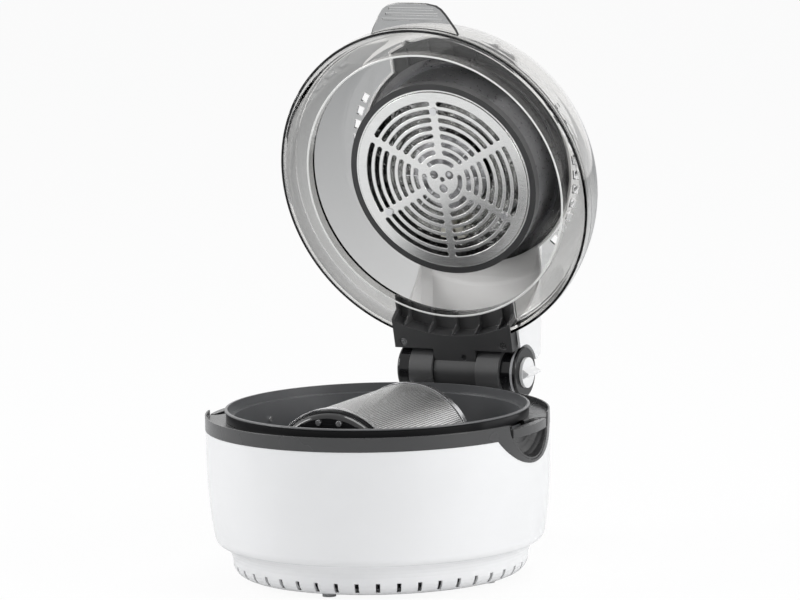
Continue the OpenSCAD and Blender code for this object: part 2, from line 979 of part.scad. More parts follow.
module drum_axles() {
    flange = 1.5;
    front = drum_front + 0.4 - cap_rise;
    rear = drum_rear - 0.4 + cap_rise;
    color("silver")
        at_drum() {
            rod_y(axle_r, drum_front - axle_front, front + cap_t + 4);
            rod_y(axle_r, rear - cap_t - 4, drum_rear + axle_rear);
            blade(drum_rear + axle_rear - 1, coupler_in + 7.5);
            rod_y(9, front + cap_t, front + cap_t + 2);
            rod_y(9, rear - cap_t - 2, rear - cap_t);
            rod_y(12, front - flange, front);
            rod_y(12, rear, rear + flange);
        }
}

// Lid

module tab_shape() {
    half = [
        [tab_half + 12, -lid_r + 12], [tab_half + 8, -lid_r + 1], [tab_half + 5, -lid_r - 4],
        [tab_half + 1.5, -lid_r - 10], [tab_half - 1, -lid_r - 14], [tab_half - 5, -tab_reach + 6],
        [tab_half - 10, -tab_reach + 2.5], [tab_half - 20, -tab_reach + 0.4], [0, -tab_reach]];
    polygon(concat(
        [[0, -lid_r + 12]],
        half,
        [for (i = [len(half) - 2:-1:0]) [-half[i][0], half[i][1]]]));
}
module lid_shell() {
    tab_z = lip_top + 0.8;
    tab_t = 4;
    inner = lid_line(lid_wall);
    air_half = 4.5;
    color([0.6, 0.6, 0.58, 0.4])
        opened()
            difference() {
                union() {
                    rotate_extrude()
                        polygon(concat(
                            lid_line(0),
                            [[lid_hole_r, lid_top], [lid_hole_r, lid_top - lid_wall]],
                            [for (i = [len(inner) - 1:-1:0]) inner[i]]));
                    difference() {
                        translate([0, 0, tab_z])
                            linear_extrude(tab_t)
                                tab_shape();
                        translate([0, 0, lid_z - 1])
                            cylinder(r = lid_r - 1, h = 20);
                        for (i = [0:2])
                            translate([0, -lid_r - 9 - 5.5 * i, 0])
                                block(-tab_half + 4 + 4 * i, tab_half - 4 - 4 * i, -1.2, 1.2,
                                    tab_z - 1, tab_z + 1);
                    }
                }
                for (side = [0, 1], i = [0:air_count - 1])
                    mirror([side, 0, 0])
                        rotate([0, 0, 43.5 - 7.5 * i])
                            block(air_place - 3, air_place + 3, -air_half, air_half, lid_top - 5, far);
                difference() {
                    block(-bracket_half - 0.3, bracket_half + 0.3, arm_root, far,
                        0, bracket_z + bracket_h + 0.3);
                    cylinder(r = skirt_in, h = far);
                }
            }
}
module lid_skirt() {
    t = 2;
    foot = lid_r - lid_wall - 0.3;
    color([0.7, 0.7, 0.68, 0.4])
        opened()
            difference() {
                rotate_extrude()
                    polygon([
                        [skirt_in, skirt_low], [skirt_in + t, skirt_low], [skirt_in + t, channel_z],
                        [channel_r, channel_z], [foot - 2.6, lid_z], [foot, lid_z],
                        [foot, lid_z + 2], [channel_r + 3, channel_z + t], [skirt_in, channel_z + t]]);
                difference() {
                    block(-bracket_half - 0.3, bracket_half + 0.3, arm_root, far, 0, far);
                    cylinder(r = skirt_in + t, h = far);
                }
            }
}
module hinge_bracket() {
    wall = 2.5;
    top = bracket_z + bracket_h;
    pocket_in = skirt_in + 2.3;
    pocket_top = top - wall;
    color("#3a3a3c")
        opened()
            difference() {
                union() {
                    difference() {
                        block(-bracket_half, bracket_half, 100, bracket_back, bracket_z, top);
                        cylinder(r = pocket_in, h = far);
                        difference() {
                            cylinder(r = bracket_edge, h = pocket_top);
                            for (i = [-2:2])
                                translate([25 * i, 0, 0])
                                    block(-1, 1, 100, far, bracket_z + 0.7, far);
                            block(-far, -bracket_half + wall, 0, far, 0, far);
                            block(bracket_half - wall, far, 0, far, 0, far);
                        }
                        difference() {
                            block(-bracket_half + wall, bracket_half - wall, 100, bracket_back - wall,
                                bracket_z + wall, far);
                            cylinder(r = bracket_edge + wall, h = far);
                            for (side = [-1, 1])
                                translate([side * bracket_screw[0], bracket_screw[1], 0])
                                    cylinder(r = 5, h = far);
                        }
                        translate([0, 0, bracket_z - 1])
                            cylinder(r1 = bracket_edge - 1, r2 = collar_r + 3,
                                h = channel_z - 1 - bracket_z);
                    }
                    block(-knuckle_half, knuckle_half, bracket_back - 1, hinge_y, bracket_z, hinge_z + 10);
                    at_hinge()
                        rod_x(knuckle_r, -knuckle_half, knuckle_half);
                }
                at_hinge() {
                    rod_x(pin_r + run_fit, -far, -knuckle_half + pin_bite + 1);
                    rod_x(pin_r + run_fit, knuckle_half - pin_bite - 1, far);
                }
                for (side = [-1, 1])
                    translate([side * bracket_screw[0], bracket_screw[1], 0]) {
                        cylinder(r = 3.9, h = bracket_z + 3);
                        cylinder(r = 2.3, h = far);
                    }
                translate([10, 177.5, bracket_z - 1])
                    cylinder(r = 3, h = 3);
            }
}
module lid_screw(length) {
    translate([0, 0, -1.8])
        cylinder(r = 3.7, h = 1.8);
    translate([0, 0, -1])
        cylinder(r = 2, h = length + 1);
}
module lid_screws() {
    color("silver")
        opened() {
            for (side = [-1, 1])
                translate([side * bracket_screw[0], bracket_screw[1], bracket_z + 3])
                    lid_screw(bracket_h + 8);
            at_grille_screws()
                translate([0, 0, grille_z])
                    lid_screw(10);
        }
}
module arm_solid(o) {
    rest = barrel_r + 3 + o;
    lip = [hinge_y - 2.5 - o, hinge_z + rest + 1];
    edge = acos((lip[0] - 0.4 - hinge_y) / rest);
    slope = 19;
    bevel = 11;
    intersection() {
        rotate([90, 0, 90])
            translate([0, 0, -arm_half + o])
                linear_extrude(2 * (arm_half - o))
                    polygon(concat(
                        [[arm_root, lid_top + 12 - o], [cover_r - 8.5, lid_top + 11 - o],
                            [cover_r + 13.5, lid_top + 7 - o]],
                        bow([hinge_y - 38.5, lid_top - 4 - o],
                            [hinge_y - 4.5 - o, lid_top - 14 - o], lip, 5),
                        arc([hinge_y, hinge_z], rest, edge, 180, 7),
                        [[hinge_y - rest, channel_z - 3], [arm_root, channel_z - 3]]));
        translate([0, cover_r + 13.5, lid_top + 7])
            rotate([-slope, 0, 0])
                rotate([90, 0, 0])
                    translate([0, 0, -far])
                        linear_extrude(2 * far)
                            polygon([[-arm_half, -far], [arm_half, -far],
                                [arm_half, -bevel - o * 0.4], [arm_half - bevel - o * 0.4, -o],
                                [bevel - arm_half + o * 0.4, -o], [-arm_half, -bevel - o * 0.4]]);
    }
}
module cover_solid(o) {
    z0 = lid_top - 4.6;
    r = cover_r - o;
    under = o / cos(panel_tilt);
    front = slope_front + 1.4 * o;
    difference() {
        union() {
            rotate_extrude()
                polygon(concat(
                    [[0, z0], [r, z0], [r, cover_top - 38 - o]],
                    cover_edge(o),
                    [[r - 70, cover_top - 1.5 - o], [0, cover_top - o]]));
            intersection() {
                block(-nose_half + o, nose_half - o, -far, 0, z0, nose_top - o);
                cylinder(r = nose_r - o, h = far);
            }
            rotate([90, 0, 90])
                translate([0, 0, -slope_half + o])
                    linear_extrude(2 * (slope_half - o))
                        polygon([[slope_front, z0], [slope_front, slope_z(slope_front) - under],
                            [slope_front + 31, slope_z(slope_front + 31) - under], [slope_front + 31, z0]]);
        }
        rotate([90, 0, 90])
            translate([0, 0, 4 - slope_half - o])
                linear_extrude(2 * (slope_half - 4 + o))
                    polygon([[front, slope_z(front) - under], [0, slope_z(0) - under], [0, far],
                        [front, far]]);
    }
}
function cover_edge(o) = let (r = cover_r - o)
    bow([r - 0.5, cover_top - 36 - o], [r - 4, cover_top - 11 - o], [r - 34, cover_top - 6 - o], 6);
function slope_z(y) = panel_z + (y - panel_y) * tan(panel_tilt);
module at_panel() {
    translate([0, panel_y, panel_z])
        rotate([panel_tilt, 0, 0])
            children();
}
module top_cover() {
    color("white")
        opened()
            difference() {
                union() {
                    difference() {
                        union() {
                            cover_solid(0);
                            arm_solid(0);
                        }
                        cover_solid(cover_wall);
                        arm_solid(cover_wall);
                        block(-bracket_half - 0.3, bracket_half + 0.3, arm_root, far,
                            0, bracket_z + bracket_h + 0.3);
                        block(-knuckle_half - 0.3, knuckle_half + 0.3, arm_root, far, 0, hinge_z + 10.3);
                    }
                    for (side = [-1, 1])
                        translate([side * bracket_screw[0], bracket_screw[1], bracket_z + bracket_h])
                            difference() {
                                union() {
                                    cylinder(r = 4, h = 26);
                                    block(min(side * 3, side * 12), max(side * 3, side * 12),
                                        -1, 1, 0.5, 25);
                                }
                                translate([0, 0, -1])
                                    cylinder(r = 2 + run_fit, h = 14);
                            }
                }
                lid_solid(-0.4);
                at_panel()
                    block(-panel_w / 2 - 0.3, panel_w / 2 + 0.3,
                        -panel_d / 2 - 0.3, panel_d / 2 + 0.3, -8, 20);
                for (side = [0, 1], i = [0:7])
                    mirror([side, 0, 0])
                        rotate([0, 0, 35 - 9 * i])
                            block(cover_r - 6, cover_r + 5, -2.5, 2.5, lid_top + 9, lid_top + 20);
            }
}
module nose_shape(r, half) {
    intersection() {
        circle(r = r);
        translate([-half, -r])
            square([2 * half, r]);
    }
}
module lid_frame() {
    tray_r = nose_r - cover_wall - 0.4;
    tray_half = nose_half - cover_wall - 0.4;
    color("#2e2e30")
        opened()
            difference() {
                union() {
                    translate([0, 0, frame_z])
                        linear_extrude(frame_t)
                            union() {
                                circle(r = frame_r);
                                nose_shape(tray_r, tray_half);
                            }
                    ring(chamber_r + 8, chamber_r + 4, flange_z + 1, frame_z + 1);
                    intersection() {
                        difference() {
                            translate([0, 0, flange_z])
                                linear_extrude(frame_z - flange_z + 1)
                                    nose_shape(tray_r, tray_half);
                            cylinder(r = chamber_r + 12, h = far);
                        }
                        union() {
                            for (i = [-2:2])
                                translate([25 * i, 0, 0])
                                    block(-1, 1, -far, 0, 0, far);
                            ring(tray_r, tray_r - 2, 0, far);
                        }
                    }
                    for (i = [0:2])
                        rotate([0, 0, 30 + 120 * i])
                            translate([post_place, 0, frame_top - 1])
                                cylinder(r = 4, h = motor_z - frame_top + 1);
                }
                for (i = [0:2])
                    rotate([0, 0, 90 + 120 * i])
                        ring_sector(34, 58);
                translate([0, 0, frame_z - 1])
                    cylinder(r = shaft_r + 5, h = 10);
            }
}
module ring_sector(r0, r1) {
    translate([0, 0, frame_z - 5])
        linear_extrude(20)
            intersection() {
                difference() {
                    circle(r = r1);
                    circle(r = r0);
                }
                polygon([[0, 0], [far, -far * 1.1], [far, far * 1.1]]);
            }
}
module heater_chamber() {
    color("gainsboro")
        opened()
            rotate_extrude()
                polygon([
                    [chamber_in, grille_z + 4], [chamber_r, grille_z + 4], [chamber_r, flange_z],
                    [chamber_r + 10, flange_z], [chamber_r + 10, flange_z + 1], [chamber_in, flange_z + 1]]);
}
module reflector_plate() {
    r = chamber_in - 0.1;
    color("silver")
        opened()
            difference() {
                union() {
                    translate([0, 0, reflector_z])
                        cylinder(r = r, h = 1);
                    ring(r, r - 1, reflector_z, reflector_z + 8);
                }
                cylinder(r = shaft_r + 3, h = far);
            }
}
module grille_collar() {
    color("#2e2e30")
        opened()
            rotate_extrude()
                polygon([
                    [grille_r + 0.4, grille_z + 1.4], [collar_out, grille_z + 1.4],
                    [collar_out, grille_z + 10], [chamber_r + 0.1, grille_z + 10],
                    [chamber_r + 0.1, grille_z + 4], [grille_r + 0.4, grille_z + 4]]);
}
// One arc slot of the grille with round ends, centred on angle 0
module arc_slot(r, span) {
    intersection() {
        difference() {
            circle(r = r + slot_w / 2 - 0.1);
            circle(r = r - slot_w / 2 + 0.1);
        }
        polygon([[0, 0], [2 * r * cos(span), -2 * r * sin(span)], [3 * r, 0],
            [2 * r * cos(span), 2 * r * sin(span)]]);
    }
    for (side = [-1, 1])
        rotate(side * span)
            translate([r, 0])
                circle(r = slot_w / 2, $fn = 24);
}
module grille() {
    first_row = 28.3;
    hub_place = 9.5;
    hub_hole_r = 4.2;
    color("gainsboro")
        opened()
            translate([0, 0, grille_z])
                union() {
                    linear_extrude(grille_t)
                        difference() {
                            circle(r = grille_r);
                            for (k = [0:6], s = [0:spokes - 1]) {
                                r = first_row + row_pitch * k;
                                rotate(s * 360 / spokes)
                                    arc_slot(r, 180 / spokes - asin((spoke_w + slot_w) / 2 / r));
                            }
                            for (s = [0:2])
                                rotate(30 + 120 * s)
                                    arc_slot(19, 38);
                            for (s = [0:2])
                                rotate(90 + 120 * s)
                                    translate([hub_place, 0])
                                        circle(r = hub_hole_r);
                            circle(r = 2.5);
                            for (s = [0:2])
                                rotate(-90 + 120 * s)
                                    translate([grille_screw_place, 0])
                                        circle(r = 2.3);
                        }
                    ring(grille_r, grille_r - 1, 0, 5);
                }
}
module at_grille_screws() {
    for (s = [0:2])
        rotate([0, 0, -90 + 120 * s])
            translate([grille_screw_place, 0, 0])
                children();
}
module grille_standoffs() {
    color("silver")
        opened()
            at_grille_screws()
                translate([0, 0, grille_z + grille_t])
                    difference() {
                        cylinder(r = standoff_r, h = reflector_z - grille_z - grille_t);
                        translate([0, 0, -1])
                            cylinder(r = 2 + run_fit, h = 11);
                    }
}
module halogen_lamp() {
    color([0.9, 0.9, 0.85, 0.5])
        opened()
            translate([0, 0, reflector_z - 14])
                rotate([0, 0, 102])
                    rotate_extrude(angle = 336)
                        translate([lamp_ring, 0])
                            circle(r = lamp_r, $fn = 24);
}
module lamp_holders() {
    color("ivory")
        opened()
            for (side = [0, 1])
                mirror([side, 0, 0])
                    rotate([0, 0, 101.8])
                        translate([lamp_ring, 0, reflector_z - 20])
                            block(-6, 6, -8, 0, 0, 20);
}
module thermostat() {
    color("silver")
        opened()
            translate([45, -45, reflector_z + 1]) {
                cylinder(r = 8, h = 6);
                translate([0, 0, 5])
                    cylinder(r = 5, h = 4);
            }
}
module fan_motor() {
    color("dimgray")
        opened()
            difference() {
                union() {
                    translate([0, 0, motor_z])
                        cylinder(r = motor_r, h = motor_h);
                    translate([0, 0, motor_z])
                        cylinder(r = post_place + 5, h = 2);
                }
                cylinder(r = shaft_r + run_fit, h = far);
            }
}
module fan_rotor() {
    color("silver")
        opened() {
            translate([0, 0, grille_z + 8])
                cylinder(r = shaft_r, h = motor_z + motor_h + 3 - grille_z - 8);
            for (stage = [[grille_z + 8, 12, fan_r], [frame_top + 2, 9, fan_r + 2]])
                translate([0, 0, stage[0]]) {
                    cylinder(r = 9, h = stage[1]);
                    translate([0, 0, stage[1] - 1.2])
                        cylinder(r = stage[2] - 6, h = 1.2);
                    for (i = [0:blades - 1])
                        rotate([0, 0, i * 360 / blades])
                            block(7, stage[2], -0.7, 0.7, 0, stage[1]);
                }
        }
}
module control_board() {
    color("darkgreen")
        opened()
            at_panel() {
                block(-panel_w / 2 + 1, panel_w / 2 - 1, -panel_d / 2 + 1, panel_d / 2 - 1,
                    board_low, board_low + 1.6);
                for (side = [-1, 1], i = [0, 1])
                    translate([button_place(side, i), 0, board_low + 1])
                        cylinder(r = 3, h = button_low - button_travel - 0.4 - board_low - 1);
                for (side = [-1, 1])
                    translate([side * (panel_w / 2 - 3), panel_d / 2 - 3, board_low + 1])
                        cylinder(r = 1.6, h = -2.6 - board_low - 1);
            }
}
module control_panel() {
    color("black")
        opened()
            at_panel()
                difference() {
                    block(-panel_w / 2, panel_w / 2, -panel_d / 2, panel_d / 2, -2.6, 0.6);
                    block(-display_w / 2 - 0.1, display_w / 2 + 0.1, -display_d / 2 - 0.1,
                        display_d / 2 + 0.1, -0.9, 2);
                    for (side = [-1, 1], i = [0, 1])
                        translate([button_place(side, i), 0, -5])
                            cylinder(r = button_r + 0.3, h = 10);
                }
}
module display() {
    color("darkslategray")
        opened()
            at_panel()
                block(-display_w / 2, display_w / 2, -display_d / 2, display_d / 2, -0.9, 0.5);
}
module button(place) {
    color("lightgray")
        opened()
            at_panel()
                translate([place, 0, 0]) {
                    translate([0, 0, button_low])
                        cylinder(r = button_r, h = 2.2 - button_low);
                    translate([0, 0, -4.5])
                        cylinder(r = button_r + 1.2, h = 1.5);
                }
}
module button_power() {
    button(button_place(-1, 1));
}
module button_mode() {
    button(button_place(-1, 0));
}
module button_minus() {
    button(button_place(1, 0));
}
module button_plus() {
    button(button_place(1, 1));
}
module tilt_switch() {
    color("ivory")
        opened()
            block(-7, 7, 158.5, 166, bracket_z + 2.5, bracket_z + 16);
}

// The origin is under the middle of the oven's outline, with the lid open
module placed() {
    translate([0, -middle_y, 0])
        children();
}

placed() base_shell();
placed() bottom_plate();
placed() feet();
placed() rim_ring();
placed() handle_left();
placed() handle_right();
placed() heat_liner();
placed() pot_pads();
placed() rear_housing();
placed() drum_motor();
placed() motor_plate();
placed() cord_inlet();
placed() terminal_block();
placed() base_screws();
placed() hinge_block();
placed() hinge_pin();
placed() hinge_cap();
placed() friction_washers();
placed() hinge_neck();
placed() dial_trim();
placed() lock_dial();
placed() lock_knob();
placed() lock_bolt();
placed() drive_fork();
placed() pot();
placed() pot_cradles();
placed() pot_studs();
placed() pot_bush();
placed() pot_coupler();
placed() drum_bushes();
placed() drum_mesh();
placed() drum_bands();
placed() drum_cap_front();
placed() drum_cap_rear();
placed() drum_rivets();
placed() drum_axles();
placed() lid_shell();
placed() lid_skirt();
placed() hinge_bracket();
placed() lid_screws();
placed() top_cover();
placed() lid_frame();
placed() heater_chamber();
placed() reflector_plate();
placed() grille_collar();
placed() grille();
placed() grille_standoffs();
placed() halogen_lamp();
placed() lamp_holders();
placed() thermostat();
placed() fan_motor();
placed() control_board();
placed() control_panel();
placed() display();
placed() tilt_switch();
placed() fan_rotor();
placed() button_power();
placed() button_mode();
placed() button_minus();
placed() button_plus();
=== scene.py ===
import math

import bpy
from mathutils import Matrix, Vector


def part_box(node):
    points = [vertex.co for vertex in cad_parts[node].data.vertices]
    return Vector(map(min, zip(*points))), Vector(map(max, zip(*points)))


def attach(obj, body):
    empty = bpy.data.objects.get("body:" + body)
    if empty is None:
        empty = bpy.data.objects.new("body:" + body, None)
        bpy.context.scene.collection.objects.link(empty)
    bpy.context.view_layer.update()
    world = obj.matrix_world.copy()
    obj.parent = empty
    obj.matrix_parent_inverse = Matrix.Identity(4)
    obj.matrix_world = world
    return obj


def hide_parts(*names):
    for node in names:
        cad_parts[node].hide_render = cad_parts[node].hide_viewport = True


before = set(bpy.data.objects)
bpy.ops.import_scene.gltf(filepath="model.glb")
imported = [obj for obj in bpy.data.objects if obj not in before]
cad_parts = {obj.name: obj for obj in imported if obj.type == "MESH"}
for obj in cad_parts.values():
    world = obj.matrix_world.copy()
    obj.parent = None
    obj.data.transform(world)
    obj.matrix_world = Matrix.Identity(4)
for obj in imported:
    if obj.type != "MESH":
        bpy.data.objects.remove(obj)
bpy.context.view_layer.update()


# Camera and studio: a long lens at the photograph's angle, a pale floor and three soft boxes.
# The oven stands on the floor, and the pale surround also shows in its glossy and clear parts.
view_turn = math.radians(25.72)
view_rise = math.radians(7.86)
view_roll = math.radians(1.31)
view_distance = 6.0
aim_side = 0.01468
aim_height = 0.2708
rim_low, rim_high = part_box("rim_ring")
base_middle = (rim_low[1] + rim_high[1]) / 2
aim_point = Vector((
    aim_side * math.cos(view_turn), base_middle + aim_side * math.sin(view_turn), aim_height))
towards_eye = Vector((
    math.sin(view_turn) * math.cos(view_rise),
    -math.cos(view_turn) * math.cos(view_rise),
    math.sin(view_rise)))
level_right = Vector((math.cos(view_turn), math.sin(view_turn), 0))
level_up = towards_eye.cross(level_right)
rolled_right = math.cos(view_roll) * level_right - math.sin(view_roll) * level_up
rolled_up = math.sin(view_roll) * level_right + math.cos(view_roll) * level_up
camera = bpy.data.objects.new("camera", bpy.data.cameras.new("camera"))
bpy.context.scene.collection.objects.link(camera)
camera.data.sensor_width = 36
camera.data.lens = 282.9
camera.data.clip_end = 60
camera.data.shift_x = 0.0125
camera.data.shift_y = -0.005375
turned = Matrix((rolled_right, rolled_up, towards_eye)).transposed()
camera.matrix_world = (
    Matrix.Translation(aim_point + towards_eye * view_distance) @ turned.to_4x4())
bpy.context.scene.camera = camera
bpy.context.scene.view_settings.view_transform = "Standard"

lamp_target = Vector((0, 0, 0.25))
for name, place, size, power in (
        ("soft_box_left", (-2.9, -1.7, 1.5), 1.5, 55),
        ("soft_box_right", (3.2, -0.3, 1.3), 1.5, 52),
        ("soft_box_top", (0.3, 0.6, 3.2), 1.6, 34)):
    lamp = bpy.data.objects.new(name, bpy.data.lights.new(name, "AREA"))
    bpy.context.scene.collection.objects.link(lamp)
    lamp.data.size = size
    lamp.data.energy = power
    lamp.location = place
    lamp.rotation_euler = (lamp_target - Vector(place)).to_track_quat("-Z", "Y").to_euler()

surround = bpy.data.worlds.new("surround")
surround.use_nodes = True
surround_nodes = surround.node_tree.nodes
surround_links = surround.node_tree.links
surround_nodes.clear()
surround_path = surround_nodes.new("ShaderNodeLightPath")
seen = surround_path.outputs["Is Camera Ray"]
for ray in ("Is Glossy Ray", "Is Transmission Ray"):
    either = surround_nodes.new("ShaderNodeMath")
    either.operation = "MAXIMUM"
    surround_links.new(seen, either.inputs[0])
    surround_links.new(surround_path.outputs[ray], either.inputs[1])
    seen = either.outputs[0]
surround_light = surround_nodes.new("ShaderNodeBackground")
surround_light.inputs["Color"].default_value = (0.96, 0.98, 1.0, 1)
surround_light.inputs["Strength"].default_value = 0.41
surround_white = surround_nodes.new("ShaderNodeBackground")
surround_white.inputs["Color"].default_value = (1, 1, 1, 1)
surround_white.inputs["Strength"].default_value = 1.0
surround_mix = surround_nodes.new("ShaderNodeMixShader")
surround_out = surround_nodes.new("ShaderNodeOutputWorld")
surround_links.new(seen, surround_mix.inputs[0])
surround_links.new(surround_light.outputs[0], surround_mix.inputs[1])
surround_links.new(surround_white.outputs[0], surround_mix.inputs[2])
surround_links.new(surround_mix.outputs[0], surround_out.inputs[0])
bpy.context.scene.world = surround

white_share = 0.93
bpy.ops.object.select_all(action="DESELECT")
bpy.ops.mesh.primitive_plane_add(size=14, location=(0, 0, 0))
floor = bpy.context.object
floor.name = "studio_floor"
floor_paint = bpy.data.materials.new("floor_paint")
floor_paint.use_nodes = True
floor_nodes = floor_paint.node_tree.nodes
floor_links = floor_paint.node_tree.links
floor_nodes.clear()
floor_path = floor_nodes.new("ShaderNodeLightPath")
floor_share = floor_nodes.new("ShaderNodeMath")
floor_share.operation = "MULTIPLY"
floor_share.inputs[1].default_value = white_share
floor_matt = floor_nodes.new("ShaderNodeBsdfDiffuse")
floor_matt.inputs["Color"].default_value = (0.94, 0.94, 0.94, 1)
floor_glow = floor_nodes.new("ShaderNodeEmission")
floor_glow.inputs["Color"].default_value = (1, 1, 1, 1)
floor_glow.inputs["Strength"].default_value = 1.0
floor_mix = floor_nodes.new("ShaderNodeMixShader")
floor_out = floor_nodes.new("ShaderNodeOutputMaterial")
floor_links.new(floor_path.outputs["Is Camera Ray"], floor_share.inputs[0])
floor_links.new(floor_share.outputs[0], floor_mix.inputs[0])
floor_links.new(floor_matt.outputs[0], floor_mix.inputs[1])
floor_links.new(floor_glow.outputs[0], floor_mix.inputs[2])
floor_links.new(floor_mix.outputs[0], floor_out.inputs[0])
floor.data.materials.append(floor_paint)


# Base body: a white drum moulded in glossy polypropylene, with a stepped foot and a row of slots.
# The rear housing, the bottom plate and the lid's cover are moulded in the same white.
def vary_finish(material, pattern, colour, shade, roughness, spread):
    """Shifts tone and gloss with a pattern: tone down to a shade, gloss by a share."""
    nodes = material.node_tree.nodes
    links = material.node_tree.links
    shader = nodes["Principled BSDF"]
    tone = nodes.new("ShaderNodeValToRGB")
    dark, full = tone.color_ramp.elements
    dark.position = 0.3
    dark.color = (*[c * shade for c in colour], 1)
    full.position = 0.7
    full.color = (*colour, 1)
    gloss = nodes.new("ShaderNodeMapRange")
    gloss.inputs["To Min"].default_value = roughness * (1 - spread)
    gloss.inputs["To Max"].default_value = roughness * (1 + spread)
    links.new(pattern.outputs["Fac"], tone.inputs["Fac"])
    links.new(pattern.outputs["Fac"], gloss.inputs["Value"])
    links.new(tone.outputs["Color"], shader.inputs["Base Color"])
    links.new(gloss.outputs["Result"], shader.inputs["Roughness"])


def raise_relief(material, pattern, depth, edge):
    """Gives the surface a pattern's relief, and edges that catch the light as if rounded."""
    nodes = material.node_tree.nodes
    links = material.node_tree.links
    rounding = nodes.new("ShaderNodeBevel")
    rounding.samples = 4
    rounding.inputs["Radius"].default_value = edge
    bump = nodes.new("ShaderNodeBump")
    bump.inputs["Strength"].default_value = 1.0
    bump.inputs["Distance"].default_value = depth
    links.new(rounding.outputs["Normal"], bump.inputs["Normal"])
    links.new(pattern.outputs["Fac"], bump.inputs["Height"])
    links.new(bump.outputs["Normal"], nodes["Principled BSDF"].inputs["Normal"])


def noise_pattern(material, scale, detail, stretch=None):
    """A noise that lies still on the piece, at one scale or stretched along one way."""
    nodes = material.node_tree.nodes
    links = material.node_tree.links
    place = nodes.new("ShaderNodeTexCoord").outputs["Object"]
    if stretch is not None:
        stretched = nodes.new("ShaderNodeMapping")
        stretched.inputs["Scale"].default_value = stretch
        links.new(place, stretched.inputs["Vector"])
        place = stretched.outputs["Vector"]
    pattern = nodes.new("ShaderNodeTexNoise")
    pattern.inputs["Scale"].default_value = scale
    pattern.inputs["Detail"].default_value = detail
    links.new(place, pattern.inputs["Vector"])
    return pattern


def moulded_plastic(
        name, colour, roughness, grain=0.0012, depth=0.00001, shade=0.97, coat=0.0,
        edge=0.0004, shine=0.5):
    """A moulding with a fine grain and slow changes of gloss and tone."""
    material = bpy.data.materials.new(name)
    material.use_nodes = True
    slow = noise_pattern(material, 14, 3)
    fine = noise_pattern(material, 1 / grain, 2)
    vary_finish(material, slow, colour, shade, roughness, 0.15)
    raise_relief(material, fine, depth, edge)
    shader = material.node_tree.nodes["Principled BSDF"]
    shader.inputs["Specular IOR Level"].default_value = shine
    shader.inputs["Coat Weight"].default_value = coat
    shader.inputs["Coat Roughness"].default_value = 0.05
    return material


def dress(material, *names):
    """Puts a material on all of each named node."""
    for name in names:
        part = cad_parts[name]
        for slot in part.material_slots:
            slot.material = material


white_moulding = moulded_plastic(
    "white_moulding", (0.86, 0.86, 0.865), 0.24, coat=0.25, edge=0.0009)
dress(white_moulding, "base_shell", "bottom_plate", "rear_housing")


# Feet and pot pads: soft grey rubber, pushed into the bottom plate and the heat liner.
# Their skin is dull and a little dusty.
soft_rubber = moulded_plastic(
    "soft_rubber", (0.68, 0.68, 0.68), 0.75, grain=0.0009, depth=0.00003, shade=0.9)
dress(soft_rubber, "feet", "pot_pads")


# Rim ring and handle inserts: satin dark grey polyamide with a fine spark texture.
# The ring clips over the body, and each insert is let into a scoop at its side.
ring_plastic = moulded_plastic(
    "ring_plastic", (0.052, 0.052, 0.053), 0.27, grain=0.0007, depth=0.00002, shade=0.88,
    edge=0.0012)
dress(ring_plastic, "rim_ring", "handle_left", "handle_right", "cord_inlet")


# Sheet metal inside: zinc-plated liner, motor can and plates, and the steel of small fittings.
# Rolled stock, so its grain runs one way and its gloss changes in streaks.
def rolled_metal(
        name, colour, roughness, along=(60, 2600, 2600), depth=0.000006, shade=0.86,
        edge=0.0004):
    """Brushed or rolled metal: streaks along one way in tone, gloss and relief."""
    material = bpy.data.materials.new(name)
    material.use_nodes = True
    streaks = noise_pattern(material, 1, 3, along)
    vary_finish(material, streaks, colour, shade, roughness, 0.3)
    raise_relief(material, streaks, depth, edge)
    material.node_tree.nodes["Principled BSDF"].inputs["Metallic"].default_value = 1.0
    return material


zinc_sheet = rolled_metal("zinc_sheet", (0.55, 0.56, 0.58), 0.45, along=(400, 400, 400))
dress(zinc_sheet, "heat_liner", "drum_motor", "motor_plate", "fan_motor")
bright_steel = rolled_metal("bright_steel", (0.74, 0.74, 0.75), 0.24)
dress(
    bright_steel, "base_screws", "hinge_pin", "friction_washers", "lock_bolt", "drive_fork",
    "pot_cradles", "pot_coupler", "lid_screws", "grille_standoffs", "thermostat", "fan_rotor")


# Ceramic pieces: the bushes of drum and pot, the lamp's holders, the terminals and tilt switch.
# A dull cream body that takes the heat.
cream_ceramic = moulded_plastic(
    "cream_ceramic", (0.80, 0.77, 0.69), 0.5, grain=0.0006, depth=0.00002, shade=0.92)
dress(cream_ceramic, "terminal_block", "pot_bush", "drum_bushes", "lamp_holders", "tilt_switch")


# Hinge barrel: matte dark ears and bracket, with gloss black cap, neck and dial at its ends.
# A light crescent trims the dial, and the white knob turns the lock.
hinge_plastic = moulded_plastic(
    "hinge_plastic", (0.085, 0.085, 0.086), 0.28, grain=0.0006, depth=0.00002, shade=0.85,
    edge=0.0008)
dress(hinge_plastic, "hinge_block")
bracket_plastic = moulded_plastic(
    "bracket_plastic", (0.05, 0.05, 0.051), 0.4, grain=0.0006, depth=0.00003, shade=0.85,
    edge=0.0007)
dress(bracket_plastic, "hinge_bracket")
gloss_black = moulded_plastic(
    "gloss_black", (0.01, 0.01, 0.011), 0.1, grain=0.002, depth=0.000004, shade=0.8,
    coat=0.05, edge=0.0008, shine=0.3)
dress(gloss_black, "hinge_cap", "hinge_neck", "lock_dial", "control_panel")
trim_grey = moulded_plastic("trim_grey", (0.42, 0.42, 0.43), 0.2, coat=0.3)
dress(trim_grey, "dial_trim")
knob_white = moulded_plastic("knob_white", (0.84, 0.84, 0.84), 0.3, coat=0.2)
dress(knob_white, "lock_knob")


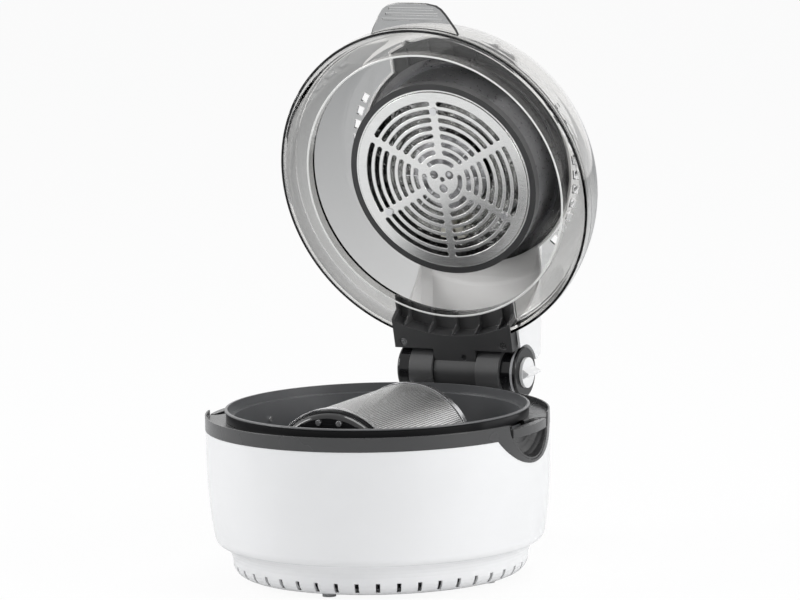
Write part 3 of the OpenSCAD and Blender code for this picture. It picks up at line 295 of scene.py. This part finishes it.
# Pot: drawn steel with a rolled bead at its rim, dark non-stick inside, outside near black: dark
# coat and painted shade.
# The coat is sprayed, so it has a fine orange peel and a soft sheen.
# Bright studs go through its wall.
def select_alone(part):
    """Selects one piece and makes it the active one."""
    bpy.ops.object.select_all(action="DESELECT")
    bpy.context.view_layer.objects.active = part
    part.select_set(True)


def turned_part(name, outline, steps):
    """A closed section of (radius, height) points in mm, spun once round the upright axis."""
    bpy.ops.object.select_all(action="DESELECT")
    bpy.ops.mesh.primitive_circle_add(vertices=len(outline), radius=0.01)
    part = bpy.context.object
    part.name = name
    for vertex, (radius, height) in zip(part.data.vertices, outline):
        vertex.co = (radius / 1000, 0, height / 1000)
    bpy.ops.object.mode_set(mode="EDIT")
    bpy.ops.mesh.select_all(action="SELECT")
    bpy.ops.mesh.spin(steps=steps, angle=2 * math.pi, center=(0, 0, 0), axis=(0, 0, 1))
    bpy.ops.mesh.select_all(action="SELECT")
    bpy.ops.mesh.remove_doubles(threshold=0.00002)
    bpy.ops.mesh.normals_make_consistent(inside=False)
    bpy.ops.object.mode_set(mode="OBJECT")
    return part


def round_tool(radius, length, place, turn=0.0, sides=180):
    """A plain cylinder for a cut, upright or turned about the x axis."""
    bpy.ops.object.select_all(action="DESELECT")
    bpy.ops.mesh.primitive_cylinder_add(
        vertices=sides, radius=radius, depth=length, location=place, rotation=(turn, 0, 0))
    return bpy.context.object


def combine(part, tool, operation):
    """Cuts the tool out of the part, or joins it on, and throws the tool away."""
    select_alone(part)
    change = part.modifiers.new(operation.lower(), "BOOLEAN")
    change.operation = operation
    change.solver = "EXACT"
    change.object = tool
    bpy.ops.object.modifier_apply(modifier=change.name)
    bpy.data.objects.remove(tool)


def smooth_edges(part, degrees):
    """Shades a piece smooth, but keeps edges sharper than the angle."""
    select_alone(part)
    bpy.ops.object.shade_smooth_by_angle(angle=math.radians(degrees))


def round_corner(middle, radius, start, end, steps):
    """Points of an arc about its middle, from one angle to another in degrees."""
    turns = [math.radians(start + (end - start) * i / steps) for i in range(steps + 1)]
    return [(middle[0] + radius * math.cos(t), middle[1] + radius * math.sin(t)) for t in turns]


drum_height = 0.110
pot_inner = 138
pot_sheet = 1.6
pot_floor = 38
pot_corner = 20
collar_outer = 145
collar_ledge = 155.3
rim_top = 165.5
rim_bead = 1.2
axle_bore = 0.006
black_and_shade_top = 0.163
corner_middle = (pot_inner - pot_corner, pot_floor + pot_corner)
pot_shell = turned_part(
    "pot_shell",
    [(0, pot_floor - pot_sheet)]
    + round_corner(corner_middle, pot_corner + pot_sheet, -90, 0, 12)
    + [(pot_inner + pot_sheet, collar_ledge), (collar_outer, collar_ledge)]
    + round_corner((collar_outer, rim_top - rim_bead), rim_bead, -90, 90, 8)
    + [(collar_outer - pot_sheet, rim_top),
       (collar_outer - pot_sheet, collar_ledge + pot_sheet),
       (pot_inner, collar_ledge + pot_sheet)]
    + round_corner(corner_middle, pot_corner, 0, -90, 12)
    + [(0, pot_floor)],
    160)
combine(
    pot_shell, round_tool(axle_bore, 0.08, (0, 0.14, drum_height), math.pi / 2, 32),
    "DIFFERENCE")
pot_coat = moulded_plastic(
    "pot_coat", (0.105, 0.107, 0.111), 0.34, grain=0.0016, depth=0.00003, shade=0.9, coat=0.15)
# The near-black outside is partly the dark coat and partly painted shade of the recess round the
# pot.
pot_black_and_shade = moulded_plastic(
    "pot_black_and_shade", (0.012, 0.012, 0.013), 0.3, grain=0.0016, depth=0.00003, shade=0.9, shine=0.3)
pot_shell.data.materials.append(pot_coat)
pot_shell.data.materials.append(pot_black_and_shade)
# Outward faces below the bead, and the underside, take the near black of coat and painted shade.
for face in pot_shell.data.polygons:
    outwards = face.normal.x * face.center.x + face.normal.y * face.center.y > 0.0005
    downwards = face.normal.z < -0.5
    black_and_shaded = downwards or (outwards and face.center.z < black_and_shade_top)
    face.material_index = 1 if black_and_shaded else 0
pot_shell.location = (0, base_middle, 0)
smooth_edges(pot_shell, 30)
bpy.ops.object.transform_apply(location=True, rotation=True, scale=True)
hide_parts("pot")
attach(pot_shell, "pot")
stud_steel = rolled_metal("stud_steel", (0.9, 0.9, 0.9), 0.2)
dress(stud_steel, "pot_studs")


# Drum: woven steel mesh rolled into a cylinder, with bright end bands and dark pressed end caps.
# A ring of bright rivets holds each cap to the axle's flange.
mesh_radius = 0.0659
mesh_front = -0.0971
mesh_rear = 0.0756
wires_round = 206
wires_along = 84
half_wire = 0.00042
bpy.ops.object.select_all(action="DESELECT")
bpy.ops.mesh.primitive_cylinder_add(
    vertices=wires_round, radius=mesh_radius, depth=mesh_rear - mesh_front,
    end_fill_type="NOTHING", rotation=(math.pi / 2, 0, 0),
    location=(0, base_middle + (mesh_front + mesh_rear) / 2, drum_height))
drum_weave = bpy.context.object
drum_weave.name = "drum_weave"
bpy.ops.object.transform_apply(location=True, rotation=True, scale=True)
bpy.ops.object.mode_set(mode="EDIT")
bpy.ops.mesh.select_mode(type="EDGE")
bpy.ops.mesh.select_all(action="DESELECT")
bpy.ops.object.mode_set(mode="OBJECT")
for edge in drum_weave.data.edges:
    one, two = (drum_weave.data.vertices[i].co for i in edge.vertices)
    edge.select = abs(one.y - two.y) > 0.1
bpy.ops.object.mode_set(mode="EDIT")
bpy.ops.mesh.subdivide(number_cuts=wires_along - 1)
bpy.ops.mesh.select_mode(type="FACE")
bpy.ops.mesh.select_all(action="SELECT")
bpy.ops.mesh.inset(thickness=half_wire, use_individual=True, use_boundary=True)
bpy.ops.mesh.delete(type="FACE")
bpy.ops.mesh.select_all(action="SELECT")
bpy.ops.object.mode_set(mode="OBJECT")
wire_steel = rolled_metal(
    "wire_steel", (0.86, 0.86, 0.86), 0.34, along=(900, 900, 900), depth=0.00002)
drum_weave.data.materials.append(wire_steel)
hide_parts("drum_mesh")
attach(drum_weave, "drum")
dress(bright_steel, "drum_bands", "drum_rivets", "drum_axles")
cap_enamel = moulded_plastic(
    "cap_enamel", (0.012, 0.012, 0.013), 0.09, grain=0.002, depth=0.000003, shade=0.8,
    coat=0.15, edge=0.0008)
dress(cap_enamel, "drum_cap_front", "drum_cap_rear")


# Lid: a dome and a ring moulded in smoke-tinted clear plastic, screwed to the dark bracket.
# The wall shows its tint once on each way through, and the ring's lower edge is painted pale as a
# painted highlight.
def smoky_plastic(name, tint, roughness):
    """A clear body with a slow change of tint and gloss."""
    material = bpy.data.materials.new(name)
    material.use_nodes = True
    vary_finish(material, noise_pattern(material, 9, 2), tint, 0.97, roughness, 0.4)
    shader = material.node_tree.nodes["Principled BSDF"]
    shader.inputs["Transmission Weight"].default_value = 1.0
    shader.inputs["IOR"].default_value = 1.38
    return material


def bow(start, pull, end, steps):
    """Points of a curve from start to end, drawn towards a third point."""
    points = []
    for i in range(steps + 1):
        t = i / steps
        points.append(tuple(
            start[k] * (1 - t) ** 2 + 2 * pull[k] * t * (1 - t) + end[k] * t * t
            for k in (0, 1)))
    return points


def boxes(name, sizes):
    """Blocks in mm for a cut: (x0, x1, y0, y1, z0, z1, turn in degrees, seen from above)."""
    bpy.ops.object.select_all(action="DESELECT")
    bpy.ops.mesh.primitive_cube_add(size=1)
    made = bpy.context.object
    made.name = name
    bpy.ops.object.mode_set(mode="EDIT")
    bpy.ops.mesh.delete(type="VERT")
    for x0, x1, y0, y1, z0, z1, turn in sizes:
        middle = Vector(((x0 + x1) / 2000, (y0 + y1) / 2000, (z0 + z1) / 2000))
        bpy.ops.mesh.primitive_cube_add(
            size=1, location=Matrix.Rotation(math.radians(turn), 3, "Z") @ middle,
            rotation=(0, 0, math.radians(turn)),
            scale=((x1 - x0) / 1000, (y1 - y0) / 1000, (z1 - z0) / 1000))
    bpy.ops.object.mode_set(mode="OBJECT")
    return made


hinge_line = Vector((0, 0.1965, 0.1715))
lid_open = 76


def swing_open(part):
    """Turns a piece drawn on the closed lid back to where the open lid holds it."""
    part.matrix_world = (
        Matrix.Translation(hinge_line + Vector((0, base_middle, 0)))
        @ Matrix.Rotation(math.radians(-lid_open), 4, "X") @ Matrix.Translation(-hinge_line))
    select_alone(part)
    bpy.ops.object.transform_apply(location=True, rotation=True, scale=True)


lid_outer = 162.8
lip_low = 157
lid_wall = 2.5
lid_shoulder = 137.5
lid_top = 238
top_hole = 100.5
channel_top = 171


def dome_line(inset):
    """The dome's outline from its lip to its top face, moved inwards."""
    low = (lid_outer - inset, channel_top - 4)
    pull = (lid_outer - 5.3 - inset, (channel_top + lid_top) / 2 + 2 - 0.4 * inset)
    high = (lid_shoulder + 2 - 0.84 * inset, lid_top - 6.5 - 0.55 * inset)
    side = bow(low, pull, high, 22)
    over = bow(
        high, (lid_shoulder - 2.5 - 0.5 * inset, lid_top - inset),
        (lid_shoulder - 10.5, lid_top - inset), 9)
    return [(lid_outer - inset, lip_low)] + side + over[1:]


smoke_clear = smoky_plastic("smoke_clear", (0.87, 0.865, 0.855), 0.02)
dome = turned_part(
    "clear_dome",
    dome_line(0) + [(top_hole, lid_top), (top_hole, lid_top - lid_wall)]
    + dome_line(lid_wall)[::-1],
    180)
half_tab = [
    (48, -150.8), (44, -161.8), (41, -166.8), (37.5, -172.8), (35, -176.8), (31, -182),
    (26, -185.5), (16, -187.6), (0, -188)]
tab_edge = half_tab + [(-x, y) for x, y in half_tab[-2::-1]]
tab_low = 0.1608
tab_thickness = 0.004
bpy.ops.object.select_all(action="DESELECT")
bpy.ops.mesh.primitive_circle_add(vertices=len(tab_edge), radius=0.01, fill_type="NGON")
tab = bpy.context.object
for vertex, (x, y) in zip(tab.data.vertices, tab_edge):
    vertex.co = (x / 1000, y / 1000, tab_low)
bpy.ops.object.mode_set(mode="EDIT")
bpy.ops.mesh.select_all(action="SELECT")
bpy.ops.mesh.extrude_region_move(TRANSFORM_OT_translate={"value": (0, 0, tab_thickness)})
bpy.ops.mesh.select_all(action="SELECT")
bpy.ops.mesh.normals_make_consistent(inside=False)
bpy.ops.object.mode_set(mode="OBJECT")
grooves = [
    (-32 + 4 * i, 32 - 4 * i, -173 - 5.5 * i, -170.6 - 5.5 * i, 159, 161.8, 0)
    for i in range(3)]
combine(tab, boxes("tab_grooves", grooves), "DIFFERENCE")
combine(tab, round_tool((lid_outer - 1) / 1000, 0.02, (0, 0, 0.165)), "DIFFERENCE")
combine(dome, tab, "UNION")
gap_half = 63.8
combine(dome, boxes("bracket_gap", [(-gap_half, gap_half, 100, 400, 100, 176.6, 0)]), "DIFFERENCE")
slot_turns = [43.5 - 7.5 * i for i in range(11)] + [180 - (43.5 - 7.5 * i) for i in range(11)]
air_slots = [(115, 121, -4.5, 4.5, 232, 245, turn) for turn in slot_turns]
combine(dome, boxes("air_slots", air_slots), "DIFFERENCE")
smooth_edges(dome, 30)
swing_open(dome)
dome.visible_shadow = False
dome.data.materials.append(smoke_clear)
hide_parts("lid_shell")
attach(dome, "lid")

# A pale opaque finish for the ring's lower edge: a painted highlight.
painted_highlight_edge = moulded_plastic("painted_highlight_edge", (0.88, 0.88, 0.86), 0.2, coat=0.3)
skirt = turned_part("clear_skirt", [
    (134.3, 159.7), (134.8, 159.4), (135.8, 159.4), (136.3, 159.7), (136.3, channel_top),
    (153.2, channel_top), (157.4, lip_low), (160, lip_low), (160, 159), (156.2, 173),
    (134.3, 173)], 180)
skirt_gap = boxes("skirt_gap", [(-gap_half, gap_half, 100, 400, 100, 300, 0)])
combine(skirt_gap, round_tool(0.1364, 0.4, (0, 0, 0.2)), "DIFFERENCE")
combine(skirt, skirt_gap, "DIFFERENCE")
skirt.data.materials.append(smoke_clear)
skirt.data.materials.append(painted_highlight_edge)
# Faces of the ring's lower edge take the painted highlight.
for face in skirt.data.polygons:
    from_middle = math.hypot(face.center.x, face.center.y)
    face.material_index = 1 if face.center.z < 0.1605 and from_middle < 0.138 else 0
smooth_edges(skirt, 30)
swing_open(skirt)
skirt.visible_shadow = False
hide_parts("lid_skirt")
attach(skirt, "lid")


# Top of the lid: the white cover with its arm, the dark frame and collar, and the slotted grille.
# The grille is pressed from bright brushed sheet and held by three screws.
# The collar is dark, with a narrow bright seat round the grille.
dress(white_moulding, "top_cover")
frame_plastic = moulded_plastic(
    "frame_plastic", (0.03, 0.03, 0.031), 0.38, grain=0.0009, depth=0.00003, shade=0.85)
dress(frame_plastic, "lid_frame")
grille_steel = rolled_metal(
    "grille_steel", (0.82, 0.82, 0.81), 0.24, along=(80, 2200, 2200), edge=0.0011)
dress(grille_steel, "grille")
collar = turned_part("collar_ring", [
    (90.7, 181.4), (92.3, 181.4), (98.5, 181.4), (98.5, 190), (96.6, 190), (96.6, 184),
    (90.7, 184)], 160)
collar.data.materials.append(grille_steel)
collar.data.materials.append(frame_plastic)
for face in collar.data.polygons:
    from_middle = math.hypot(face.center.x, face.center.y)
    face.material_index = 0 if face.normal.z < -0.5 and from_middle < 0.092 else 1
smooth_edges(collar, 30)
swing_open(collar)
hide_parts("grille_collar")
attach(collar, "lid")


# Behind the grille: a steel chamber painted dark as painted shade, a crumpled foil reflector and a
# ring lamp in quartz.
# The foil is thin, so its dents throw bright flecks, and its tone is painted dark in their low
# parts as painted shade.
# The chamber's steel is painted dark: painted shade in the recess behind the grille.
chamber_shaded_steel = rolled_metal("chamber_shaded_steel", (0.16, 0.16, 0.165), 0.3, along=(300, 300, 300))
dress(chamber_shaded_steel, "heater_chamber")
# Its tone follows the dents down to a quarter of its colour: painted shade in the hollows.
foil_with_painted_shade = rolled_metal(
    "foil_with_painted_shade", (0.62, 0.62, 0.61), 0.16, along=(90, 140, 90), depth=0.004, shade=0.25)
dress(foil_with_painted_shade, "reflector_plate")
lamp_quartz = smoky_plastic("lamp_quartz", (0.95, 0.95, 0.93), 0.02)
dress(lamp_quartz, "halogen_lamp")


# Controls: a green board under the panel, a dark display window and four grey buttons.
# The panel and buttons carry no marks.
board_green = moulded_plastic(
    "board_green", (0.03, 0.17, 0.07), 0.35, grain=0.0015, depth=0.00002, shade=0.8)
dress(board_green, "control_board")
screen_dark = moulded_plastic(
    "screen_dark", (0.015, 0.022, 0.026), 0.08, grain=0.003, depth=0.000002, shade=0.7,
    coat=0.5)
dress(screen_dark, "display")
button_grey = moulded_plastic("button_grey", (0.45, 0.45, 0.47), 0.3, coat=0.2)
dress(button_grey, "button_power", "button_mode", "button_minus", "button_plus")
